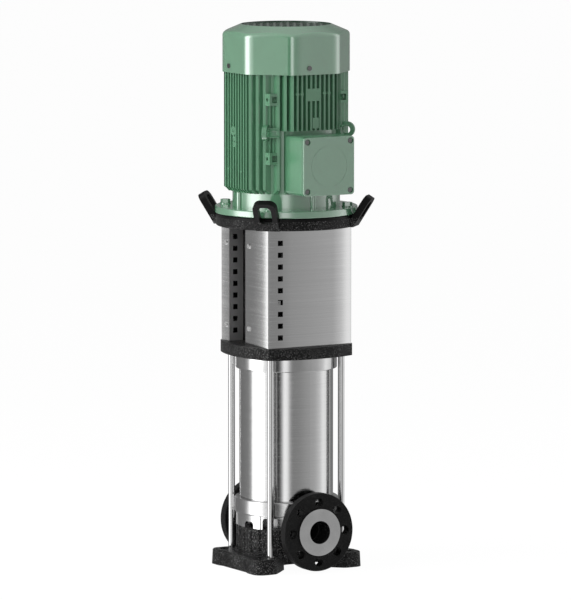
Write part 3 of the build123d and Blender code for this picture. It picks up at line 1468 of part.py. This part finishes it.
with BuildPart() as terminal_lid_screws:
    seat_x = box_lid_x + lid_t - lid_ear_h - lid_head_h
    for radius, length in ((lid_head_d / 2, lid_head_h), (lid_screw_d / 2, box_lid_x - seat_x - 2.5 * lid_screw_d)):
        with BuildSketch(Plane.YZ.offset(seat_x)):
            with Locations((0, box_mid_z)):
                with GridLocations(box_size - 2 * lid_screw_inset, box_size - 2 * lid_screw_inset, 2, 2):
                    Circle(radius)
        extrude(amount=length)
write(terminal_lid_screws, "terminal_lid_screws")

with BuildPart() as terminal_board:
    with BuildSketch(Plane.YZ.offset(barrel_r + box_wall)):
        with Locations((0, box_mid_z)):
            Rectangle(board_w, board_l)
    extrude(amount=board_t)
    with BuildSketch(Plane.YZ.offset(barrel_r + box_wall + board_t)):
        with Locations((0, box_mid_z)):
            with GridLocations(board_w / 3, board_l / 2, 3, 2):
                Circle(board_post_d / 2)
    extrude(amount=board_post_h)
write(terminal_board, "terminal_board")
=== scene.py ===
from math import cos, pi, radians, sin

import bmesh
import bpy
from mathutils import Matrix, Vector

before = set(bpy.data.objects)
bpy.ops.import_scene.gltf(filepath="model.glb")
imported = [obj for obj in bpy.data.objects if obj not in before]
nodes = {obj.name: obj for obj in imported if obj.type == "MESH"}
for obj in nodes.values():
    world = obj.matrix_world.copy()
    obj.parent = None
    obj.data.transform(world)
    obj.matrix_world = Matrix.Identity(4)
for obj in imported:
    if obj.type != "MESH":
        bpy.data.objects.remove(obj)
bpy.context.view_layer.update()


# Base: a heavy iron sand casting with four slotted feet and a fluted pedestal, painted black over
# the rough skin. The grain of the sand shows as small pits, with pale specks painted in as glints.
class Wire:
    """A shader socket; an expression on it adds Math nodes to its tree."""

    def __init__(self, tree, socket):
        self.tree = tree
        self.socket = socket

    def join(self, operation, first, second):
        return Finish.node(self, "ShaderNodeMath", {"operation": operation}, {0: first, 1: second})

    def __add__(self, other):
        return self.join("ADD", self, other)

    def __sub__(self, other):
        return self.join("SUBTRACT", self, other)

    def __rsub__(self, other):
        return self.join("SUBTRACT", other, self)

    def __mul__(self, other):
        return self.join("MULTIPLY", self, other)

    def __abs__(self):
        return self.join("ABSOLUTE", self, 0)

    def below(self, mark):
        return self.join("LESS_THAN", self, mark)

    def above(self, mark):
        return self.join("GREATER_THAN", self, mark)

    __radd__ = __add__
    __rmul__ = __mul__


class Finish:
    """The nodes of a material or of the surround, with one method that adds any shader node."""

    def __init__(self, owner):
        owner.use_nodes = True
        self.owner = owner
        self.tree = owner.node_tree
        self.tree.nodes.clear()

    def node(self, kind, settings, values, output=0):
        """Adds a node: its settings first, then its sockets' values or links; gives one output."""
        new = self.tree.nodes.new(kind)
        for key, value in settings.items():
            if key == "stops":
                ramp = new.color_ramp
                while len(ramp.elements) < len(value):
                    ramp.elements.new(1.0)
                for element, (place, colour) in zip(ramp.elements, value):
                    element.position = place
                    element.color = colour
            else:
                setattr(new, key, value)
        for key, value in values.items():
            if isinstance(value, Wire):
                self.tree.links.new(value.socket, new.inputs[key])
            else:
                new.inputs[key].default_value = value
        return Wire(self.tree, new.outputs[output])

    def grain(self, scale, detail=2.0, stretch=(1, 1, 1), roughness=0.5):
        """Noise on the piece, in spots per metre, with its own stretch along each axis."""
        where = self.node("ShaderNodeTexCoord", {}, {}, "Object")
        place = self.node("ShaderNodeMapping", {}, {"Vector": where, "Scale": stretch})
        values = {"Vector": place, "Scale": scale, "Detail": detail, "Roughness": roughness}
        return self.node("ShaderNodeTexNoise", {}, values)

    def place(self):
        """The point on the piece: three wires, in metres."""
        where = self.node("ShaderNodeTexCoord", {}, {}, "Object")
        return tuple(self.node("ShaderNodeSeparateXYZ", {}, {0: where}, part) for part in range(3))

    def blend(self, factor, first, last):
        return self.node("ShaderNodeMix", {"data_type": "RGBA"}, {0: factor, 6: first, 7: last}, 2)

    def ramp(self, factor, low, high):
        """Zero up to a value's low mark, one from its high mark, a slope between."""
        marks = {"Value": factor, "From Min": low, "From Max": high}
        return self.node("ShaderNodeMapRange", {}, marks)

    def between(self, factor, low, high, first, last):
        """One colour up to a value's low mark, the other from its high mark, a blend between."""
        return self.blend(self.ramp(factor, low, high), first, last)

    def bump(self, height, strength, distance):
        values = {"Height": height, "Strength": strength, "Distance": distance}
        return self.node("ShaderNodeBump", {}, values)

    def surface(self, **values):
        """Closes the material with a Principled shader."""
        named = {key.replace("_", " ").title(): value for key, value in values.items()}
        named = {key.replace(" Ior", " IOR"): value for key, value in named.items()}
        self.close(self.node("ShaderNodeBsdfPrincipled", {}, named), "ShaderNodeOutputMaterial")
        return self.owner

    def close(self, shader, kind):
        end = self.tree.nodes.new(kind)
        self.tree.links.new(shader.socket, end.inputs["Surface"])


def wear(material, *names):
    """Gives pieces of the pump their finish."""
    for name in names:
        for place in nodes[name].material_slots:
            place.material = material


def grey(value):
    return (value, value, value, 1)


def sand_casting(name, dark, glint_tone, glint_share, grain, depth, rough, dressed_above=10.0):
    """Black paint over sand-cast iron: pits and bumps, with pale flecks painted in as glints."""
    fine_grain = 2.7          # times as many of the fine spots per metre
    patch_grain = 14
    coarse_share = 0.65
    dressed_relief = 0.2      # share of the relief that grinding leaves
    glint_height = 0.65       # height on the grain at which a share of 0 would start
    glint_edge = 0.05
    skin = Finish(bpy.data.materials.new(name))
    coarse = skin.grain(grain, 3)
    fine = skin.grain(grain * fine_grain, 2)
    patch = skin.grain(patch_grain)
    # What stands above dressed_above, in metres, was ground smooth before it was painted
    as_cast = skin.place()[2].below(dressed_above)
    kept = as_cast * (1 - dressed_relief) + dressed_relief
    relief = (coarse * coarse_share + fine * (1 - coarse_share)) * kept
    # The pale flecks on the grain's high points are painted glints
    start = glint_height - glint_share
    end = start + glint_edge
    return skin.surface(
        base_color=skin.between(relief + patch * 0.1, start, end, grey(dark), grey(glint_tone)),
        roughness=rough + patch * 0.15,
        normal=skin.bump(relief, 1.0, depth),
        specular_ior_level=0.12,
    )


base_black = sand_casting(
    "base_black", dark=0.003, glint_tone=0.24, glint_share=0.04, grain=460, depth=0.002, rough=0.26
)
wear(base_black, "base")


# Pump casing: stainless steel cast in a lost-wax mould and bead blasted all over, with a collar
# round each port. Little light gets into the ports, so their walls are dark.
def cast_steel(name, shine, rough, grain, relief, port_height=0, port_radius=0):
    """Blasted cast steel: fine pores, and a slow cloud of duller patches; dark inside the ports."""
    cloud_grain = 18
    dull_share = 0.86
    port_tone = 0.02
    port_metal = 0.2
    skin = Finish(bpy.data.materials.new(name))
    pores = skin.grain(grain, 3)
    cloud = skin.grain(cloud_grain, 3)
    tone = skin.between(cloud, 0.35, 0.65, grey(shine * dull_share), grey(shine))
    metal = 1.0
    if port_radius:
        y, z = skin.place()[1:]
        up = z - port_height
        inside = (y * y + up * up).below(port_radius * port_radius)
        tone = skin.blend(inside, tone, grey(port_tone))
        metal = 1 - inside * (1 - port_metal)
    return skin.surface(
        base_color=tone,
        metallic=metal,
        roughness=rough + cloud * 0.1,
        normal=skin.bump(pores, 0.3, relief),
    )


casing_steel = cast_steel(
    "casing_steel",
    shine=0.48,
    rough=0.16,
    grain=700,
    relief=0.0002,
    port_height=0.087,
    port_radius=0.0243,     # just outside the wall of the bore
)
wear(casing_steel, "pump_casing")


# Loose flanges: two half rings of ductile iron behind each port's collar, lapped at the joint.
# They are painted black like the base, over a finer skin.
flange_black = sand_casting(
    "flange_black", dark=0.004, glint_tone=0.02, glint_share=0.07, grain=520, depth=0.0005, rough=0.34
)
for port in ("discharge", "suction"):
    wear(flange_black, port + "_flange_far", port + "_flange_near")


# Tie rods, their nuts and washers, and the two plugs: drawn stainless bar and turned fasteners,
# left bright, with the faint lines of drawing and turning on them.
noise_low = 0.3     # most of a noise lies between these two
noise_high = 0.7


def bright_metal(name, shine, rough, stretch):
    """Drawn or turned metal: faint straight tool lines on a bright ground."""
    line_share = 0.92
    skin = Finish(bpy.data.materials.new(name))
    lines = skin.grain(1.0, 2, stretch)
    line_tone = grey(shine * line_share)
    return skin.surface(
        base_color=skin.between(lines, noise_low, noise_high, line_tone, grey(shine)),
        metallic=1.0,
        roughness=rough + lines * 0.06,
        normal=skin.bump(lines, 0.1, 0.0001),
    )


rod_steel = bright_metal("rod_steel", shine=0.58, rough=0.08, stretch=(500, 500, 30))
wear(rod_steel, "tie_rods")
hardware_steel = bright_metal("hardware_steel", shine=0.6, rough=0.14, stretch=(600, 600, 600))
wear(hardware_steel, "tie_rod_nuts", "tie_rod_washers", "drain_plug", "vent_plug")


# Shaft, stage casings and impellers: the shaft is turned, the stages and wheels are pressed from
# thin stainless sheet and laser welded. They are stacked on the shaft inside the sleeve.
wear(rod_steel, "pump_shaft")
wear(hardware_steel, "impeller_nut", "impeller_spacers")
pressed_steel = bright_metal("pressed_steel", shine=0.5, rough=0.2, stretch=(260, 260, 260))
for stage in range(1, 6):
    wear(pressed_steel, "stage_casing_%d" % stage, "impeller_%d" % stage)


# Shaft seal and O-rings: a carbon ring runs on a hard seat, and moulded rubber rings seal both
# ends of the sleeve. All are near black, so they share one finish.
rubber_skin = Finish(bpy.data.materials.new("seal_black"))
seal_black = rubber_skin.surface(
    base_color=grey(0.018), roughness=0.42 + rubber_skin.grain(400) * 0.2, specular_ior_level=0.4
)
wear(seal_black, "sleeve_o_rings", "seal_ring", "seal_seat")


# Outer sleeve: a drawn stainless tube, brushed round and round with a belt. The brush lines draw
# each highlight out into a tall streak with a frayed edge.
def brushed(skin, shine, stretch):
    """Tint, roughness and relief of brushed sheet: long hairs, each a little duller or brighter."""
    hair_share = 0.9
    smoothest = 0.05
    rough_range = 0.16
    hair = skin.grain(1.0, 3, stretch, roughness=0.65)
    tint = skin.between(hair, noise_low, noise_high, grey(shine * hair_share), grey(shine))
    return tint, skin.ramp(hair, 0.35, 0.7) * rough_range + smoothest, hair


sleeve_skin = Finish(bpy.data.materials.new("sleeve_steel"))
sleeve_tint, sleeve_rough, sleeve_hair = brushed(sleeve_skin, shine=0.5, stretch=(8, 8, 900))
sleeve_steel = sleeve_skin.surface(
    base_color=sleeve_tint,
    metallic=1.0,
    roughness=sleeve_rough,
    normal=sleeve_skin.bump(sleeve_hair, 0.4, 0.00015),
)
wear(sleeve_steel, "outer_sleeve")


# Pump head and seal housing: stainless castings that close the top of the sleeve. The head is
# smoother and brighter than the casing, and the housing, inside the lantern, is dull.
head_steel = cast_steel("head_steel", shine=0.5, rough=0.09, grain=900, relief=0.0001)
wear(head_steel, "pump_head")
housing_steel = cast_steel("housing_steel", shine=0.16, rough=0.3, grain=900, relief=0.0001)
wear(housing_steel, "seal_housing", "seal_screws")


# Lantern: an iron casting painted like the base, with a square foot that has bowed sides, two flat
# pillars, a round ring for the motor and four lifting lugs.
lantern_black = sand_casting(
    "lantern_black",
    dark=0.003,
    glint_tone=0.18,
    glint_share=0.04,
    grain=520,
    depth=0.0015,
    rough=0.28,
    dressed_above=0.743,     # just below the top of the ring, which the lugs rise past
)
wear(lantern_black, "lantern")


# Coupling halves: turned from steel bar, split along the shaft and clamped by four screws. A film
# of oil leaves them and the motor's shaft darker than the stainless parts.
coupling_steel = bright_metal("coupling_steel", shine=0.2, rough=0.24, stretch=(300, 300, 60))
wear(coupling_steel, "coupling_half_front", "coupling_half_rear", "motor_shaft", "coupling_screws")


# Guards: brushed stainless sheet, folded at the corners and bowed outwards, with a row of square
# vents in the face and one in the folded-in return, and held by four small screws each.
guard_skin = Finish(bpy.data.materials.new("guard_steel"))
guard_tint, guard_rough, guard_hair = brushed(guard_skin, shine=0.5, stretch=(4, 4, 1100))
return_x = 0.0655     # the folded-in return lies within these distances from the shaft
return_y = 0.0998
strip_y = 0.1004      # the flat side strips lie beyond this one
bow_y = 0.05          # and the bowed face rolls off from here
strip_skew = 1.2      # a strip falls off by x |x| (x + this), with x along the port axis
bow_curl = 2.0        # the bowed face falls off by this times the square of what is past bow_y
along, sideways = guard_skin.place()[:2]
dull = abs(along).below(return_x) * abs(sideways).below(return_y)
on_strip = abs(sideways).above(strip_y)
past_bow = (abs(sideways) - bow_y) * abs(sideways).above(bow_y)
strip_roll = on_strip * abs(along) * along * (along + strip_skew)
roll = strip_roll + (1 - on_strip) * past_bow * past_bow * bow_curl
guard_steel = guard_skin.surface(
    base_color=guard_skin.blend(dull, guard_tint, grey(0.2)),
    metallic=1 - dull * 0.75,
    roughness=guard_rough + dull * 0.4,
    normal=guard_skin.bump(guard_hair * 0.00005 - roll, 1.0, 1.0),
)
wear(guard_steel, "guard_front", "guard_rear")
screw_bright = bright_metal("screw_bright", shine=0.85, rough=0.28, stretch=(600, 600, 600))
wear(screw_bright, "guard_screws")


# Motor end shields and frame: aluminium castings in green enamel with a faint orange peel. The
# coat is glossy on the flanged shield and satin on the finned frame and the rear shield.
def green_enamel(
    name, colour, peel_grain, relief, rough, gloss, haze, grille_radius=0, grille_underside=0
):
    """Sprayed enamel: a slow drift of tone, orange peel, and a clear gloss over it."""
    drift_grain = 22
    thin_share = 0.92
    grille_shade = (0.02, 0.05, 0.03, 1)
    grille_coat_cut = 0.9
    skin = Finish(bpy.data.materials.new(name))
    peel = skin.grain(peel_grain)
    drift = skin.grain(drift_grain, 3)
    thin = tuple(part * thin_share for part in colour[:3]) + (1,)
    tone = skin.between(drift, noise_low, noise_high, thin, colour)
    coat = gloss
    if grille_radius:
        # The sunken grille is painted dark as shade, and has a thin, dull coat
        x, y, z = skin.place()
        sunken = z.above(grille_underside) * (x * x + y * y).below(grille_radius * grille_radius)
        tone = skin.blend(sunken, tone, grille_shade)
        coat = gloss - sunken * grille_coat_cut * gloss
    return skin.surface(
        base_color=tone,
        roughness=rough + drift * 0.08,
        normal=skin.bump(peel, 0.2, relief),
        specular_ior_level=gloss,
        coat_weight=coat,
        coat_roughness=haze,
        coat_ior=2.3,
    )


green = (0.1, 0.272, 0.15, 1)
# A darker copy of the green for the finned frame and rear shield: painted shade between the fins
frame_shade_green = (0.085, 0.24, 0.13, 1)
shield_green = green_enamel(
    "shield_green", green, peel_grain=420, relief=0.00025, rough=0.3, gloss=1.0, haze=0.08
)
wear(shield_green, "motor_end_shield", "motor_flange_bolts", "motor_flange_washers")
frame_green = green_enamel(
    "frame_green", frame_shade_green, peel_grain=420, relief=0.00025, rough=0.3, gloss=0.45, haze=0.12
)
wear(frame_green, "motor_frame", "rear_end_shield")


# Stator, rotor and bearings: stacked electrical steel with copper windings in its slots, on
# ball bearings of polished chrome steel.
core_steel = bright_metal("core_steel", shine=0.36, rough=0.34, stretch=(40, 40, 1800))
wear(core_steel, "stator_core", "rotor_core")
wear(hardware_steel, "bearing_inner_rings", "bearing_outer_rings", "bearing_balls")
copper_skin = Finish(bpy.data.materials.new("winding_copper"))
winding_copper = copper_skin.surface(
    base_color=(0.4, 0.17, 0.07, 1), metallic=0.6, roughness=0.35 + copper_skin.grain(200) * 0.2
)
wear(winding_copper, "stator_windings")


# Fan and terminal board: black nylon mouldings with a fine spark-eroded texture. The blanking
# plugs of the cable entries are the same stuff.
nylon_skin = Finish(bpy.data.materials.new("nylon_black"))
nylon_black = nylon_skin.surface(
    base_color=grey(0.02),
    roughness=0.38 + nylon_skin.grain(600) * 0.15,
    normal=nylon_skin.bump(nylon_skin.grain(900), 0.2, 0.0001),
    specular_ior_level=0.4,
)
wear(nylon_black, "fan", "terminal_board", "entry_plugs")


# Fan cover: deep-drawn steel sheet with a punched grille on top, in the flanged shield's green but
# smoother than the castings. Four dark screws hold it to the frame.
cover_green = green_enamel(
    "cover_green",
    green,
    peel_grain=130,
    relief=0.00005,
    rough=0.2,
    gloss=1.0,
    haze=0.06,
    grille_radius=0.0943,
    grille_underside=1.14,     # the grille lies above this height
)
wear(cover_green, "fan_cover")
screw_zinc = bright_metal("screw_zinc", shine=0.18, rough=0.16, stretch=(700, 700, 700))
wear(screw_zinc, "fan_cover_screws")


# Terminal box and lid: pressure die castings in the cover's green, the lid glossier than the box.
# The lid carries a shallow ring and has a screw in each corner.
box_green = green_enamel(
    "box_green", green, peel_grain=130, relief=0.00005, rough=0.3, gloss=0.7, haze=0.25
)
wear(box_green, "terminal_box")
lid_green = green_enamel(
    "lid_green", green, peel_grain=130, relief=0.00005, rough=0.2, gloss=1.0, haze=0.1
)
wear(lid_green, "terminal_lid")
wear(screw_zinc, "terminal_lid_screws")


# Studio: a pale floor without an edge in front of a white surround. Diffuse light comes evenly
# from all round and from four soft lamps; polished surfaces see tall pale and dark panels.
floor_size = 150
floor_strength = 1.03
floor_glow_share = 0.94     # of what the camera sees; the rest takes the pump's shadow
floor_mesh = bpy.data.meshes.new("floor")
floor_form = bmesh.new()
bmesh.ops.create_grid(floor_form, x_segments=1, y_segments=1, size=floor_size)
floor_form.to_mesh(floor_mesh)
floor_form.free()
floor = bpy.data.objects.new("floor", floor_mesh)
bpy.context.collection.objects.link(floor)
floor.visible_glossy = False
floor_skin = Finish(bpy.data.materials.new("floor_white"))
floor_matt = floor_skin.node("ShaderNodeBsdfDiffuse", {}, {"Color": grey(0.9)})
floor_glow = floor_skin.node(
    "ShaderNodeEmission", {}, {"Color": grey(1), "Strength": floor_strength}
)
floor_ray = floor_skin.node("ShaderNodeLightPath", {}, {}, "Is Camera Ray")
floor_mix = floor_skin.node(
    "ShaderNodeMixShader", {}, {0: floor_ray * floor_glow_share, 1: floor_matt, 2: floor_glow}
)
floor_skin.close(floor_mix, "ShaderNodeOutputMaterial")
floor_mesh.materials.append(floor_skin.owner)

camera_turn = 30.248     # degrees from the port axis round to the camera
camera_rise = 6.593
camera_distance = 12.2217
camera_lens = 348.24
camera_aim = (-0.001465, 0.563232)     # to the right of the shaft, and above the floor

# Level directions: from the shaft to the camera's side, and to the right as the camera sees it
toward = Vector((cos(radians(camera_turn)), -sin(radians(camera_turn)), 0))
across = Vector((sin(radians(camera_turn)), cos(radians(camera_turn)), 0))
back = toward * cos(radians(camera_rise)) + Vector((0, 0, sin(radians(camera_rise))))
lens = bpy.data.cameras.new("camera")
lens.sensor_fit = "VERTICAL"
lens.sensor_height = 36
lens.lens = camera_lens
lens.clip_end = 400
camera = bpy.data.objects.new("camera", lens)
bpy.context.collection.objects.link(camera)
camera.location = across * camera_aim[0] + Vector((0, 0, camera_aim[1])) + back * camera_distance
camera.rotation_mode = "QUATERNION"
camera.rotation_quaternion = back.to_track_quat("Z", "Y")
bpy.context.scene.camera = camera

# Brightness of the panels round the pump: degrees to the right of the camera's side, strength
panels = (
    (-180, 0.25),
    (-150, 0.25),
    (-125, 0.32),
    (-108, 0.38),
    (-97, 0.65),
    (-88, 2.8),
    (-80, 3.9),
    (-62, 3.9),
    (-54, 1.8),
    (-42, 1.15),
    (-31, 0.7),
    (-25, 0.12),
    (-17, 0.05),
    (-11, 0.6),
    (-5, 1.8),
    (3, 1.6),
    (9, 0.7),
    (15, 0.4),
    (30, 0.43),
    (62, 0.62),
    (76, 0.72),
    (90, 1.0),
    (103, 1.55),
    (118, 1.3),
    (130, 0.8),
    (142, 0.3),
    (160, 0.24),
    (180, 0.25),
)
brightest = 4.0     # a colour ramp holds strengths up to 1, so they are divided by this
world = bpy.data.worlds.new("surround")
bpy.context.scene.world = world
sky = Finish(world)
aim = sky.node("ShaderNodeTexCoord", {}, {}, "Generated")
turned = sky.node(
    "ShaderNodeVectorRotate",
    {"rotation_type": "Z_AXIS"},
    {"Vector": aim, "Angle": radians(camera_turn)},
)
ahead, aside, upward = (
    sky.node("ShaderNodeSeparateXYZ", {}, {0: turned}, part) for part in range(3)
)
angle = sky.node("ShaderNodeMath", {"operation": "ARCTAN2"}, {0: aside, 1: ahead})
row = sky.node(
    "ShaderNodeValToRGB",
    {"stops": [(0.5 + turn / 360, grey(strength / brightest)) for turn, strength in panels]},
    {"Fac": angle * (0.5 / pi) + 0.5},
)
ceiling_glow = 0.6
ceiling_starts = 0.45     # how steeply up a direction points, as a sine
ceiling_full = 0.85
room_light = 0.24
scale_up = {"data_type": "RGBA", "blend_type": "MULTIPLY"}
walls = sky.node("ShaderNodeMix", scale_up, {0: 1.0, 6: row, 7: grey(brightest)}, 2)
around = sky.blend(sky.ramp(upward, ceiling_starts, ceiling_full), walls, grey(ceiling_glow))
glossy = sky.node("ShaderNodeLightPath", {}, {}, "Is Glossy Ray")
seen = sky.node("ShaderNodeLightPath", {}, {}, "Is Camera Ray")
shown = sky.blend(seen, sky.blend(glossy, grey(room_light), around), grey(1.0))
light = sky.node("ShaderNodeBackground", {}, {"Color": shown, "Strength": 1.0})
sky.close(light, "ShaderNodeOutputWorld")
world.cycles.sampling_method = "NONE"

# Lamps: degrees to the right of the camera's side, distance, height, width, length, watts
lamps = {
    "lamp_left": (-70, 2.6, 1.5, 1.8, 2.4, 60),
    "lamp_front": (-2, 2.8, 1.6, 0.5, 2.4, 12),
    "lamp_right": (105, 2.6, 1.4, 1.4, 2.4, 16),
    "lamp_top": (-40, 0.6, 3.2, 2.0, 2.0, 22),
}
lamp_target = Vector((0, 0, 0.6))
for name, (turn, distance, height, width, tall, power) in lamps.items():
    data = bpy.data.lights.new(name, "AREA")
    data.shape = "RECTANGLE"
    data.size = width
    data.size_y = tall
    data.energy = power
    lamp = bpy.data.objects.new(name, data)
    bpy.context.collection.objects.link(lamp)
    side = toward * cos(radians(turn)) + across * sin(radians(turn))
    lamp.location = side * distance + Vector((0, 0, height))
    lamp.rotation_mode = "QUATERNION"
    lamp.rotation_quaternion = (lamp.location - lamp_target).to_track_quat("Z", "Y")
    lamp.visible_glossy = False

bpy.context.scene.view_settings.view_transform = "Standard"
